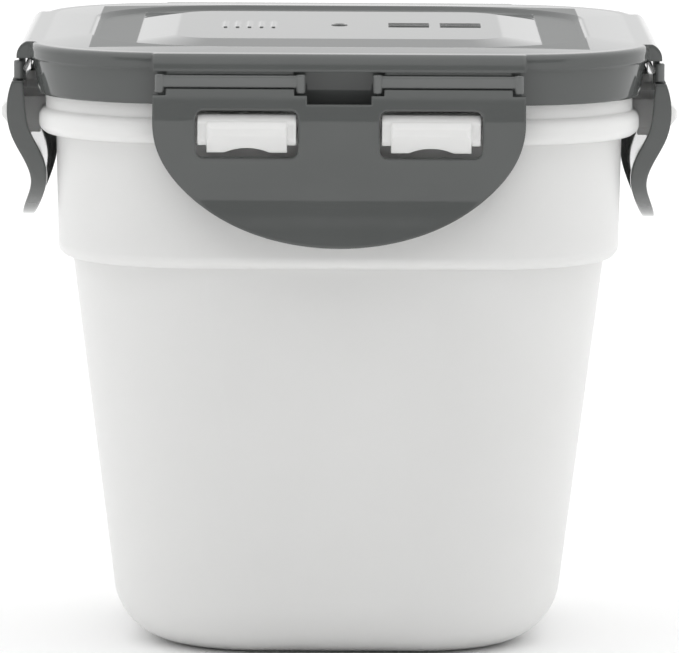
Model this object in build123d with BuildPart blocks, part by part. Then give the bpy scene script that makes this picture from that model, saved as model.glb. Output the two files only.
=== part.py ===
from build123d import *
import os

# Food canister, square in plan: a frosted body moulding and a clip-on lid whose four flip latches
# snap under lugs on the body. Millimetres, +Z up, origin at the centre of the base, front at -Y.
# Every side piece is drawn once for the front, where u is the distance out from the centre, and is
# then turned to its own side.

os.makedirs("parts", exist_ok=True)

# Body moulding
wall = 1.5
floor = 1.8
base_half = 39.6
base_corner = 26.9
base_rounding = 12.0
foot_half = 24.5
foot_recess = 0.8
foot_corner = 12.0
step_z = 72.2
step_half = 48.2
step_corner = 24.5
collar_half = 50.65
collar_corner = 24.0
collar_rounding = 2.2
collar_flare = 0.5
bead_low_z = 94.9
bead_high_z = 99.6
bead_half = 54.2
bead_rounding = 1.9
rim_half = 53.0
rim_corner = 24.0
rim_wall = 1.7
rim_top_z = 108.3
rim_rounding = 0.6
ledge_fillet = 1.4
cavity_ramp = 2.0

# Two lugs on each side, which the latch's windows close over
lug_pitch = 32.6
lug_width = 14.2
shelf_width = 17.4
lug_low_z = 94.05
lug_tip_u = 61.3
shelf_low_z = 95.4
shelf_top_z = 100.8
shelf_u = 60.1
arch_rise = 0.9
arch_span = 8.0
shelf_chamfer = 0.9
shelf_slope = 1.4
shelf_side_fillet = 0.8
hook_chamfer = 1.2
hook_ramp_u = 2.6
hook_ramp_z = 3.1
hook_rounding = 0.9

# Lid
lid_wall = 1.6
skirt_low_z = 102.15
skirt_low_half = 54.2
skirt_top_half = 55.3
skirt_inner_half = 53.3
lid_corner = 24.6
rim_roll_z = 108.6
rim_roll_half = 55.9
rim_roll_rounding = 1.3
crest_z = 111.3
crest_edge = 1.4
ring_inner_half = 45.0
ring_inner_corner = 27.0
ring_inner_z = 111.65
recess_z = 110.85
recess_slope = 0.9
platform_foot_half = 36.7
platform_foot_corner = 13.0
platform_half = 29.5
platform_corner = 7.0
platform_z = 111.8
mark_height = 0.15
rib_length = 13.0
rib_width = 0.7
rib_pitch = 2.2
rib_x = -16.5
bar_length = 7.5
bar_width = 0.55
bar_pitch_x = 9.5
bar_pitch_y = 2.0
bar_x = 17.5
dot_radius = 1.5
dot_bore = 1.0
channel_z = 109.75
channel_inner_half = 49.4
plug_corner = 19.8
plug_rib = 1.0
plug_rib_low_z = 107.0
seal_gap = 0.15
seal_side_gap = 0.25
seal_rounding = 0.4
platform_wall_inset = 2.0

# Hood over each latch, and the film hinge under it
hood_width = 66.0
hood_u = 58.1
hood_crest_u = 56.3
hood_low_z = 108.3
hood_edge = 0.4
hood_root_u = skirt_inner_half - 0.5
hinge_u = 57.75
upper_fold_z = 107.25
lower_fold_z = 105.85
strip_radius = 0.45
fold_gap = 0.1
strip_inner_x = 6.8
strip_outer_x = 31.8
stub_radius = 0.85
stub_low_z = 104.45
stub_top_z = 107.85
stub_rounding = 0.35
lip_wall = 0.65
lip_end_gap = 0.4
lip_root = 0.2

# Latch
latch_half = 33.0
latch_top_z = 105.25
latch_shoulder_z = 104.15
latch_round_z = 99.3
latch_drop = 22.4
notch_half = 5.7
notch_low_z = 102.65
inner_shoulder_x = 7.95
outer_shoulder_x = 30.65
window_width = 18.2
window_low_z = 93.05
window_high_z = 101.55
window_corner = 1.4
window_mid_z = (window_low_z + window_high_z) / 2
edge_band = 2.0
latch_back_u = 50.0
latch_depth = 12.0
lip_root_inner = 1.2
lip_root_outer = 0.5

# The latch in side view, each curve from the top down as (u, z): its outer face, the inner side of
# its edge band, and the floor of its hollow back
latch_face_points = [
    (58.4, 105.25), (59.85, 99.8), (59.1, 94.3), (57.0, 89.8), (55.8, 85.4), (56.9, 81.2), (58.0, 76.6),
]
latch_band_points = [
    (57.1, 105.25), (56.6, 99.8), (55.9, 95.4), (54.0, 91.3), (52.9, 86.6), (53.9, 81.9), (56.4, 76.6),
]
latch_hollow_points = [
    (57.4, 103.6), (57.9, 99.6), (57.2, 94.9), (55.2, 90.7), (53.95, 86.0), (55.0, 81.3), (56.0, 79.2),
]

sides = {"front": 0, "right": 90, "back": 180, "left": 270}


def square_block(z_low, half_low, corner_low, z_high, half_high, corner_high):
    """Block with rounded corners that changes size evenly between two heights."""
    with BuildPart() as block:
        with BuildSketch(Plane.XY.offset(z_low)):
            RectangleRounded(2 * half_low, 2 * half_low, corner_low)
        with BuildSketch(Plane.XY.offset(z_high)):
            RectangleRounded(2 * half_high, 2 * half_high, corner_high)
        loft()
    return block.part


def side_slab(outline, x_low, x_high):
    """Slab across the front side from x_low to x_high, with a closed (u, z) outline."""
    with BuildPart() as slab:
        with BuildSketch(Plane.YZ.offset(x_low)):
            with BuildLine():
                Polyline([(-u, z) for u, z in outline], close=True)
            make_face()
        extrude(amount=x_high - x_low)
    return slab.part


def front_rod(u, z, radius, x_low, x_high):
    """Round bar along X at (u, z) on the front side."""
    with BuildPart() as rod:
        with BuildSketch(Plane.YZ.offset(x_low)):
            with Locations((-u, z)):
                Circle(radius)
        extrude(amount=x_high - x_low)
    return rod.part


# ---------------------------------------------------------------- canister body
with BuildPart() as lower_cavity:
    add(
        square_block(
            floor, base_half - wall, base_corner - wall,
            step_z + wall, step_half - wall, step_corner - wall,
        )
    )
    fillet(lower_cavity.edges().group_by(Axis.Z)[0], base_rounding - wall)

with BuildPart() as upper_cavity:
    collar_cavity = (collar_half - wall, collar_corner - wall)
    rim_cavity = (rim_half - rim_wall, rim_corner - rim_wall)
    add(square_block(step_z + wall, *collar_cavity, bead_low_z, *collar_cavity))
    fillet(upper_cavity.edges().group_by(Axis.Z)[0], ledge_fillet)
    ramp_top_z = bead_low_z + cavity_ramp
    add(square_block(bead_low_z, *collar_cavity, ramp_top_z, *rim_cavity))
    add(square_block(ramp_top_z, *rim_cavity, rim_top_z + 1, *rim_cavity))

with BuildPart() as lug:
    shelf_root_u = rim_half - rim_wall / 2
    shelf_outline = [
        (shelf_root_u, shelf_low_z),
        (shelf_u - shelf_chamfer, shelf_low_z),
        (shelf_u, shelf_low_z + shelf_chamfer),
        (shelf_u, shelf_top_z - shelf_slope),
        (shelf_u - shelf_slope, shelf_top_z),
        (shelf_root_u, shelf_top_z),
    ]
    add(side_slab(shelf_outline, -shelf_width / 2, shelf_width / 2))
    fillet(lug.edges().filter_by(Axis.X).group_by(Axis.Y)[0], shelf_side_fillet)
    hook_outline = [
        (bead_half, lug_low_z),
        (lug_tip_u - hook_ramp_u, lug_low_z),
        (lug_tip_u, lug_low_z + hook_ramp_z),
        (lug_tip_u, shelf_top_z - 2 * hook_chamfer),
        (lug_tip_u - hook_chamfer, shelf_top_z - hook_chamfer),
        (bead_half, shelf_top_z - hook_chamfer),
    ]
    add(side_slab(hook_outline, -lug_width / 2, lug_width / 2))
    arch_radius = ((arch_span / 2) ** 2 + arch_rise**2) / (2 * arch_rise)
    with BuildSketch(Plane.XZ.offset(bead_half)):
        with Locations((0, lug_low_z + arch_rise - arch_radius)):
            Circle(arch_radius)
    extrude(amount=lug_tip_u - bead_half + 1, mode=Mode.SUBTRACT)
    hook_sides = lug.edges().filter_by_position(Axis.Y, -lug_tip_u - 0.1, -lug_tip_u + 0.1)
    fillet(hook_sides.filter_by(Axis.Z), hook_rounding)

with BuildPart() as collar:
    collar_top = (bead_low_z + 1, collar_half + collar_flare, collar_corner)
    add(square_block(step_z, collar_half, collar_corner, *collar_top))
    fillet(collar.edges().group_by(Axis.Z)[0], collar_rounding)

with BuildPart() as bead:
    add(square_block(bead_low_z, bead_half, lid_corner, bead_high_z, bead_half, lid_corner))
    fillet(bead.edges().filter_by(Plane.XY), bead_rounding)

with BuildPart() as canister:
    add(square_block(0, base_half, base_corner, step_z, step_half, step_corner))
    fillet(canister.edges().group_by(Axis.Z)[0], base_rounding)
    with BuildSketch(Plane.XY):
        RectangleRounded(2 * foot_half, 2 * foot_half, foot_corner)
    extrude(amount=foot_recess, mode=Mode.SUBTRACT)
    add(collar.part)
    add(square_block(bead_low_z, rim_half, rim_corner, rim_top_z, rim_half, rim_corner))
    fillet(canister.edges().group_by(Axis.Z)[-1], rim_rounding)
    add(bead.part)
    with PolarLocations(0, 4):
        for lug_x in (-lug_pitch / 2, lug_pitch / 2):
            add(Pos(lug_x, 0, 0) * lug.part)
    add(lower_cavity.part, mode=Mode.SUBTRACT)
    add(upper_cavity.part, mode=Mode.SUBTRACT)

canister.part.label = "canister"
export_step(canister.part, "parts/canister.step")

# ---------------------------------------------------------------- lid and seal
with BuildPart() as hood:
    with BuildSketch(Plane.YZ.offset(-hood_width / 2)):
        with BuildLine():
            hood_foot = Line((-hood_root_u, hood_low_z), (-hood_u, hood_low_z))
            hood_front = Line(hood_foot @ 1, (-hood_u, hood_low_z + hood_edge))
            hood_roll = TangentArc(hood_front @ 1, (-hood_crest_u, crest_z), tangent=(0, 1))
            Polyline(hood_roll @ 1, (-hood_root_u, crest_z), hood_foot @ 0)
        make_face()
    extrude(amount=hood_width)

with BuildPart() as hood_lip:
    lip_inner_u = hinge_u - strip_radius - fold_gap - lip_wall
    lip_outline = [
        (lip_inner_u, upper_fold_z),
        (hinge_u, upper_fold_z),
        (hinge_u, hood_low_z + lip_root),
        (lip_inner_u, hood_low_z + lip_root),
    ]
    groove_radius = strip_radius + fold_gap
    lip_x = (strip_inner_x + stub_radius + lip_end_gap, strip_outer_x - stub_radius - lip_end_gap)
    for x_low, x_high in (lip_x, (-lip_x[1], -lip_x[0])):
        add(side_slab(lip_outline, x_low, x_high))
        groove = front_rod(hinge_u, upper_fold_z, groove_radius, x_low - 1, x_high + 1)
        add(groove, mode=Mode.SUBTRACT)

with BuildPart() as platform_marks:
    mark_root = 0.2
    with BuildSketch(Plane.XY.offset(platform_z - mark_root)):
        with Locations((rib_x, 0)):
            with GridLocations(rib_pitch, 0, 5, 1):
                SlotOverall(rib_length, rib_width, rotation=90)
        with Locations((bar_x, 0)):
            with GridLocations(bar_pitch_x, bar_pitch_y, 2, 4):
                SlotOverall(bar_length, bar_width)
        Circle(dot_radius)
        Circle(dot_bore, mode=Mode.SUBTRACT)
    extrude(amount=mark_height + mark_root)

with BuildPart() as lid_panel:
    skirt_top = (rim_roll_z, skirt_top_half, lid_corner)
    roll = (rim_roll_half, lid_corner + rim_roll_half - skirt_top_half)
    add(square_block(skirt_low_z, skirt_low_half, lid_corner, *skirt_top))
    add(square_block(rim_roll_z, *roll, crest_z, *roll))
    fillet(lid_panel.edges().group_by(Axis.Z)[-1], rim_roll_rounding)
    ring_edge = (rim_roll_half - crest_edge, lid_corner - crest_edge / 2)
    ring_inner = (ring_inner_half, ring_inner_corner)
    add(square_block(crest_z - 0.05, *ring_edge, ring_inner_z, *ring_inner))
    with PolarLocations(0, 4):
        add(hood.part)
        add(hood_lip.part)
    recess_foot = (ring_inner_half - recess_slope, ring_inner_corner - recess_slope)
    recess_mouth = (ring_inner_half + recess_slope, ring_inner_corner + recess_slope)
    add(
        square_block(recess_z, *recess_foot, ring_inner_z + recess_slope / 2, *recess_mouth),
        mode=Mode.SUBTRACT,
    )
    platform_foot = (platform_foot_half, platform_foot_corner)
    platform_top = (platform_half, platform_corner)
    add(square_block(recess_z - 0.01, *platform_foot, platform_z, *platform_top))
    add(platform_marks.part)
    bore = (skirt_inner_half, lid_corner - (skirt_low_half - skirt_inner_half))
    add(
        square_block(skirt_low_z - 1, *bore, channel_z, *bore),
        mode=Mode.SUBTRACT,
    )
    plug = (channel_inner_half, plug_corner)
    add(square_block(plug_rib_low_z, *plug, channel_z + 0.5, *plug))
    plug_bore = (channel_inner_half - plug_rib, plug_corner - plug_rib)
    underside_z = recess_z - lid_wall
    add(
        square_block(plug_rib_low_z - 1, *plug_bore, underside_z, *plug_bore),
        mode=Mode.SUBTRACT,
    )
    hollow_foot = (
        platform_foot_half - platform_wall_inset,
        platform_foot_corner - platform_wall_inset,
    )
    hollow_top = (platform_half - platform_wall_inset, platform_corner - platform_wall_inset)
    add(
        square_block(underside_z - 0.01, *hollow_foot, platform_z - lid_wall, *hollow_top),
        mode=Mode.SUBTRACT,
    )

lid_panel.part.label = "lid_panel"
export_step(lid_panel.part, "parts/lid_panel.step")

with BuildPart() as seal_ring:
    seal_outer = (skirt_inner_half - seal_side_gap, bore[1] - seal_side_gap)
    seal_inner = (channel_inner_half + seal_side_gap, plug_corner + seal_side_gap)
    seal_low_z = rim_top_z + seal_gap
    add(square_block(seal_low_z, *seal_outer, channel_z, *seal_outer))
    add(
        square_block(seal_low_z - 1, *seal_inner, channel_z + 1, *seal_inner),
        mode=Mode.SUBTRACT,
    )
    fillet(seal_ring.edges().group_by(Axis.Z)[0], seal_rounding)

seal_ring.part.label = "seal_ring"
export_step(seal_ring.part, "parts/seal_ring.step")

# ---------------------------------------------------------------- film hinge strips
with BuildPart() as strip:
    with BuildSketch(Plane.YZ.offset(strip_inner_x)):
        with Locations((-hinge_u, (upper_fold_z + lower_fold_z) / 2)):
            SlotCenterToCenter(upper_fold_z - lower_fold_z, 2 * strip_radius, rotation=90)
    extrude(amount=strip_outer_x - strip_inner_x)
    with BuildSketch(Plane.XY.offset(stub_low_z)):
        with Locations((strip_inner_x, -hinge_u), (strip_outer_x, -hinge_u)):
            Circle(stub_radius)
    extrude(amount=stub_top_z - stub_low_z)
    fillet(strip.edges().filter_by(GeomType.CIRCLE).filter_by(Plane.XY), stub_rounding)

mirrored_strip = mirror(strip.part, about=Plane.YZ)

for side, turn in sides.items():
    for end, blank in {"left": mirrored_strip, "right": strip.part}.items():
        with BuildPart() as hinge_strip:
            with Locations(Rotation(0, 0, turn)):
                add(blank)
        hinge_strip.part.label = f"{side}_hinge_{end}"
        export_step(hinge_strip.part, f"parts/{side}_hinge_{end}.step")

# ---------------------------------------------------------------- flip latches
with BuildPart() as latch_hollow:
    with BuildSketch(Plane.YZ.offset(-latch_half)):
        with BuildLine():
            hollow_curve = Spline([(-u, z) for u, z in latch_hollow_points])
            hollow_top = (-latch_back_u, latch_hollow_points[0][1])
            hollow_end = (-latch_back_u, latch_hollow_points[-1][1])
            Polyline(hollow_curve @ 1, hollow_end, hollow_top, hollow_curve @ 0)
        make_face()
    extrude(amount=2 * latch_half)
    with BuildSketch(Plane.XZ.offset(latch_back_u)):
        hollow_half = latch_half - edge_band
        hollow_drop = latch_drop - edge_band
        with BuildLine():
            EllipticalCenterArc((0, latch_round_z), hollow_half, hollow_drop, start_angle=180, arc_size=180)
            Polyline(
                (hollow_half, latch_round_z),
                (hollow_half, latch_top_z),
                (-hollow_half, latch_top_z),
                (-hollow_half, latch_round_z),
            )
        make_face()
    extrude(amount=latch_depth, mode=Mode.INTERSECT)

with BuildPart() as latch_lip:
    latch_lip_outline = [
        (lip_inner_u, lower_fold_z),
        (lip_inner_u, latch_top_z - lip_root_inner),
        (hinge_u, latch_top_z - lip_root_outer),
        (hinge_u, lower_fold_z),
    ]
    for x_low, x_high in (lip_x, (-lip_x[1], -lip_x[0])):
        add(side_slab(latch_lip_outline, x_low, x_high))
        groove = front_rod(hinge_u, lower_fold_z, groove_radius, x_low - 1, x_high + 1)
        add(groove, mode=Mode.SUBTRACT)

with BuildPart() as latch_blank:
    with BuildSketch(Plane.YZ.offset(-latch_half)):
        with BuildLine():
            face_curve = Spline([(-u, z) for u, z in latch_face_points])
            band_curve = Spline([(-u, z) for u, z in latch_band_points])
            Line(face_curve @ 0, band_curve @ 0)
            Line(face_curve @ 1, band_curve @ 1)
        make_face()
    extrude(amount=2 * latch_half)
    with BuildSketch(Plane.XZ.offset(latch_back_u)):
        right_edge = [
            (latch_half, latch_round_z),
            (latch_half, latch_shoulder_z),
            (outer_shoulder_x, latch_shoulder_z),
            (outer_shoulder_x, latch_top_z),
            (inner_shoulder_x, latch_top_z),
            (inner_shoulder_x, latch_shoulder_z),
            (notch_half, latch_shoulder_z),
            (notch_half, notch_low_z),
        ]
        left_edge = [(-x, z) for x, z in reversed(right_edge)]
        with BuildLine():
            EllipticalCenterArc((0, latch_round_z), latch_half, latch_drop, start_angle=180, arc_size=180)
            Polyline(right_edge + left_edge)
        make_face()
    extrude(amount=latch_depth, mode=Mode.INTERSECT)
    add(latch_hollow.part, mode=Mode.SUBTRACT)
    add(latch_lip.part)
    with BuildSketch(Plane.XZ.offset(latch_back_u)):
        with Locations((-lug_pitch / 2, window_mid_z), (lug_pitch / 2, window_mid_z)):
            RectangleRounded(window_width, window_high_z - window_low_z, window_corner)
    extrude(amount=latch_depth, mode=Mode.SUBTRACT)

for side, turn in sides.items():
    with BuildPart() as latch:
        with Locations(Rotation(0, 0, turn)):
            add(latch_blank.part)
    latch.part.label = f"{side}_latch"
    export_step(latch.part, f"parts/{side}_latch.step")
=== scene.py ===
import math

import bpy
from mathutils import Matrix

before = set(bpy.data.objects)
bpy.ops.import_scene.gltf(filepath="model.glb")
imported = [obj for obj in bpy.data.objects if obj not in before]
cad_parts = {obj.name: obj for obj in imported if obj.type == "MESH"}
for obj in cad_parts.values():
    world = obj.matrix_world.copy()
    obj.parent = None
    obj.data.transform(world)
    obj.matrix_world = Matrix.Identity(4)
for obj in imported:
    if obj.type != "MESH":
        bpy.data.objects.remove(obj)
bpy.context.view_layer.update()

MM = 0.001

# The lid's sunk band lies between these distances from the axis, at this height. The mask that
# roughens it fades out over BAND_SOFTNESS sideways, and between the two depths below the band.
PLATFORM_FOOT = 36.7 * MM
RING_INNER = 44.6 * MM
RECESS_Z = 110.85 * MM
BAND_SOFTNESS = 0.2 * MM
BAND_FADE_START = 0.1 * MM
BAND_FADE_END = 0.3 * MM
RECESS_ROUGHNESS = 0.42

# Base colours: each material wanders between its two.
BODY_COLOURS = (0.765, 0.765, 0.755), (0.80, 0.80, 0.79)
LID_COLOURS = (0.085, 0.090, 0.088), (0.100, 0.105, 0.103)
FILM_COLOURS = (0.12, 0.125, 0.123), (0.15, 0.155, 0.153)
SEAL_COLOURS = (0.66, 0.66, 0.64), (0.72, 0.72, 0.70)
FLOOR_COLOUR = (0.93, 0.93, 0.93)

# Radii that the moulded edges show in their highlights.
BODY_EDGE = 0.5 * MM
LID_EDGE = 0.8 * MM
FILM_EDGE = 0.25 * MM
EDGE_SAMPLES = 8

# Roughness of the smoke-grey plastic, and the share of it that the flow marks take away or add.
LID_ROUGHNESS = 0.05
FILM_ROUGHNESS = 0.07
SMOOTHER, ROUGHER = 0.8, 1.3

# Noise values outside these two are rare, so roughness runs its whole range between them.
NOISE_LOW, NOISE_HIGH = 0.3, 0.7

BODY_IOR = 1.49
LID_IOR = 1.50

# The camera stands this far in front of the object's axis, at this height, and looks a little down.
CAMERA_DISTANCE = 1.370
CAMERA_HEIGHT = 0.2274
CAMERA_PITCH = math.radians(7.14)
CAMERA_ROLL = math.radians(-0.30)
CAMERA_X = -0.0006
CAMERA_LENS = 395.3
CAMERA_SENSOR = 36.0
CAMERA_REACH = 50.0

FLOOR_SIZE = 30.0
FLOOR_ROUGHNESS = 0.9

# Strengths of the light from each part of the studio.
BACK_LIGHT = 0.90
SIDE_LIGHT = 1.15
TOP_LIGHT = 1.45
ROOM_LIGHT = 0.30

# The studio's parts, as parts of a unit direction: how far across the dark room reaches, how far
# forward its front lies, and how low and high it goes; where the ceiling starts and is brightest;
# and where the back wall gives way to the side walls.
ROOM_ACROSS = 0.62
ROOM_FULL, ROOM_FRONT = -0.45, -0.30
ROOM_BOTTOM, ROOM_TOP = -0.30, 0.50
ROOM_SOFTNESS = 0.12
CEILING_START, CEILING_FULL = 0.35, 0.90
BACK_WALL_END, SIDE_WALL_START = 0.025, 0.055


# ------------------------------------------------------------------ node helpers
def new_material(name):
    """A material with a Principled shader, its node tree and that shader."""
    material = bpy.data.materials.new(name)
    material.use_nodes = True
    tree = material.node_tree
    return material, tree, tree.nodes["Principled BSDF"]


def object_position(tree):
    """The surface's place in the row frame, in metres."""
    return tree.nodes.new("ShaderNodeTexCoord").outputs["Object"]


def noise(tree, position, scale, detail):
    node = tree.nodes.new("ShaderNodeTexNoise")
    node.inputs["Scale"].default_value = scale
    node.inputs["Detail"].default_value = detail
    node.inputs["Roughness"].default_value = 0.55
    tree.links.new(position, node.inputs["Vector"])
    return node.outputs["Fac"]


def ramp(tree, value, low, high, out_low, out_high):
    """value from low..high mapped to out_low..out_high, clamped."""
    node = tree.nodes.new("ShaderNodeMapRange")
    node.clamp = True
    settings = {"From Min": low, "From Max": high, "To Min": out_low, "To Max": out_high}
    for name, number in settings.items():
        node.inputs[name].default_value = number
    tree.links.new(value, node.inputs["Value"])
    return node.outputs["Result"]


def colour_mix(tree, factor, first, second):
    """Colour between first and second by factor."""
    node = tree.nodes.new("ShaderNodeMix")
    node.data_type = "RGBA"
    node.inputs["A"].default_value = (*first, 1.0)
    node.inputs["B"].default_value = (*second, 1.0)
    tree.links.new(factor, node.inputs["Factor"])
    return node.outputs["Result"]


def math_node(tree, operation, *values):
    node = tree.nodes.new("ShaderNodeMath")
    node.operation = operation
    for socket, value in zip(node.inputs, values):
        tree.links.new(value, socket)
    return node.outputs["Value"]


def product(tree, first, second):
    return math_node(tree, "MULTIPLY", first, second)


def larger(tree, first, second):
    return math_node(tree, "MAXIMUM", first, second)


def magnitude(tree, value):
    return math_node(tree, "ABSOLUTE", value)


def between(tree, value, low, high, softness):
    """1 where value lies from low to high, falling to 0 over softness on both sides."""
    rise = ramp(tree, value, low - softness, low, 0.0, 1.0)
    fall = ramp(tree, value, high, high + softness, 1.0, 0.0)
    return product(tree, rise, fall)


def bump(tree, height, strength, distance, edge):
    """Fine relief, over edges that catch light as if they were rounded to the radius edge."""
    node = tree.nodes.new("ShaderNodeBump")
    rounded = tree.nodes.new("ShaderNodeBevel")
    rounded.samples = EDGE_SAMPLES
    rounded.inputs["Radius"].default_value = edge
    tree.links.new(rounded.outputs["Normal"], node.inputs["Normal"])
    node.inputs["Strength"].default_value = strength
    node.inputs["Distance"].default_value = distance
    tree.links.new(height, node.inputs["Height"])
    return node.outputs["Normal"]


# ------------------------------------------------------------------ materials
def frosted_body():
    """Milky polypropylene with a fine moulded haze."""
    material, tree, shader = new_material("frosted_body")
    place = object_position(tree)
    cloud = noise(tree, place, scale=38.0, detail=3.0)
    tree.links.new(colour_mix(tree, cloud, *BODY_COLOURS), shader.inputs["Base Color"])
    grain = noise(tree, place, scale=2600.0, detail=2.0)
    haze = ramp(tree, grain, NOISE_LOW, NOISE_HIGH, out_low=0.34, out_high=0.46)
    tree.links.new(haze, shader.inputs["Roughness"])
    relief = bump(tree, grain, strength=0.10, distance=0.04 * MM, edge=BODY_EDGE)
    tree.links.new(relief, shader.inputs["Normal"])
    shader.inputs["Subsurface Weight"].default_value = 0.35
    shader.inputs["Subsurface Radius"].default_value = (1.0, 1.0, 1.0)
    shader.inputs["Subsurface Scale"].default_value = 6.0 * MM
    shader.inputs["IOR"].default_value = BODY_IOR
    return material


def recess_mask(tree, place):
    """1 on the sunk band of the lid between its platform and its outer ring, 0 elsewhere."""
    split = tree.nodes.new("ShaderNodeSeparateXYZ")
    tree.links.new(place, split.inputs["Vector"])
    reach = larger(tree, magnitude(tree, split.outputs["X"]), magnitude(tree, split.outputs["Y"]))
    band = between(tree, reach, PLATFORM_FOOT, RING_INNER, BAND_SOFTNESS)
    low, high = RECESS_Z - BAND_FADE_END, RECESS_Z - BAND_FADE_START
    return product(tree, band, ramp(tree, split.outputs["Z"], low, high, 0.0, 1.0))


def smoke_plastic(name, colours, roughness, edge):
    """Glossy smoke-grey polypropylene with faint flow marks."""
    material, tree, shader = new_material(name)
    place = object_position(tree)
    cloud = noise(tree, place, scale=55.0, detail=2.0)
    tree.links.new(colour_mix(tree, cloud, *colours), shader.inputs["Base Color"])
    ripple = noise(tree, place, scale=420.0, detail=2.0)
    gloss = ramp(tree, ripple, NOISE_LOW, NOISE_HIGH, roughness * SMOOTHER, roughness * ROUGHER)
    texture = ramp(tree, recess_mask(tree, place), 0.0, 1.0, 0.0, RECESS_ROUGHNESS)
    tree.links.new(larger(tree, gloss, texture), shader.inputs["Roughness"])
    relief = bump(tree, ripple, strength=0.05, distance=0.03 * MM, edge=edge)
    tree.links.new(relief, shader.inputs["Normal"])
    shader.inputs["IOR"].default_value = LID_IOR
    return material


def silicone():
    """Soft pale rubber for the seal."""
    material, tree, shader = new_material("silicone_seal")
    place = object_position(tree)
    cloud = noise(tree, place, scale=90.0, detail=2.0)
    tree.links.new(colour_mix(tree, cloud, *SEAL_COLOURS), shader.inputs["Base Color"])
    grain = noise(tree, place, scale=1500.0, detail=2.0)
    matt = ramp(tree, grain, NOISE_LOW, NOISE_HIGH, out_low=0.45, out_high=0.6)
    tree.links.new(matt, shader.inputs["Roughness"])
    shader.inputs["Subsurface Weight"].default_value = 0.2
    shader.inputs["Subsurface Scale"].default_value = 2.0 * MM
    return material


def dress(obj, material):
    obj.data.materials.clear()
    obj.data.materials.append(material)


# ------------------------------------------------------------------ object
body_material = frosted_body()
lid_material = smoke_plastic("smoke_lid", LID_COLOURS, LID_ROUGHNESS, LID_EDGE)
film_material = smoke_plastic("smoke_film", FILM_COLOURS, FILM_ROUGHNESS, FILM_EDGE)
seal_material = silicone()

for name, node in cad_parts.items():
    if name == "canister":
        dress(node, body_material)
    elif name == "seal_ring":
        dress(node, seal_material)
    elif "hinge" in name:
        dress(node, film_material)
    else:
        dress(node, lid_material)


# ------------------------------------------------------------------ studio
def make_floor():
    bpy.ops.mesh.primitive_plane_add(size=FLOOR_SIZE, location=(0, 0, 0))
    floor = bpy.context.object
    floor.name = "floor"
    material, tree, shader = new_material("pale_floor")
    shader.inputs["Base Color"].default_value = (*FLOOR_COLOUR, 1.0)
    shader.inputs["Roughness"].default_value = FLOOR_ROUGHNESS
    floor.data.materials.append(material)


def make_world():
    """A white studio: bright above, and a dark room behind the photographer."""
    world = bpy.data.worlds.new("studio")
    bpy.context.scene.world = world
    world.use_nodes = True
    tree = world.node_tree
    direction = tree.nodes.new("ShaderNodeTexCoord").outputs["Generated"]
    split = tree.nodes.new("ShaderNodeSeparateXYZ")
    tree.links.new(direction, split.inputs["Vector"])
    across, along, up = (split.outputs[axis] for axis in "XYZ")
    wide = between(tree, across, -ROOM_ACROSS, ROOM_ACROSS, ROOM_SOFTNESS)
    deep = ramp(tree, along, ROOM_FULL, ROOM_FRONT, 1.0, 0.0)
    tall = between(tree, up, ROOM_BOTTOM, ROOM_TOP, ROOM_SOFTNESS)
    room = product(tree, product(tree, wide, deep), tall)
    ceiling = ramp(tree, up, CEILING_START, CEILING_FULL, 0.0, TOP_LIGHT - SIDE_LIGHT)
    sideways = magnitude(tree, across)
    walls = ramp(tree, sideways, BACK_WALL_END, SIDE_WALL_START, BACK_LIGHT, SIDE_LIGHT)
    mix = tree.nodes.new("ShaderNodeMix")
    mix.data_type = "FLOAT"
    tree.links.new(room, mix.inputs["Factor"])
    tree.links.new(math_node(tree, "ADD", ceiling, walls), mix.inputs["A"])
    mix.inputs["B"].default_value = ROOM_LIGHT
    background = tree.nodes["Background"]
    background.inputs["Color"].default_value = (1.0, 1.0, 1.0, 1.0)
    tree.links.new(mix.outputs["Result"], background.inputs["Strength"])


def make_camera():
    camera = bpy.data.cameras.new("camera")
    camera.sensor_width = CAMERA_SENSOR
    camera.lens = CAMERA_LENS
    camera.clip_end = CAMERA_REACH
    holder = bpy.data.objects.new("camera", camera)
    bpy.context.scene.collection.objects.link(holder)
    holder.location = (CAMERA_X, -CAMERA_DISTANCE, CAMERA_HEIGHT)
    holder.rotation_mode = "XYZ"
    holder.rotation_euler = (math.pi / 2 - CAMERA_PITCH, CAMERA_ROLL, 0.0)
    bpy.context.scene.camera = holder


make_floor()
make_world()
make_camera()
bpy.context.scene.view_settings.view_transform = "Standard"
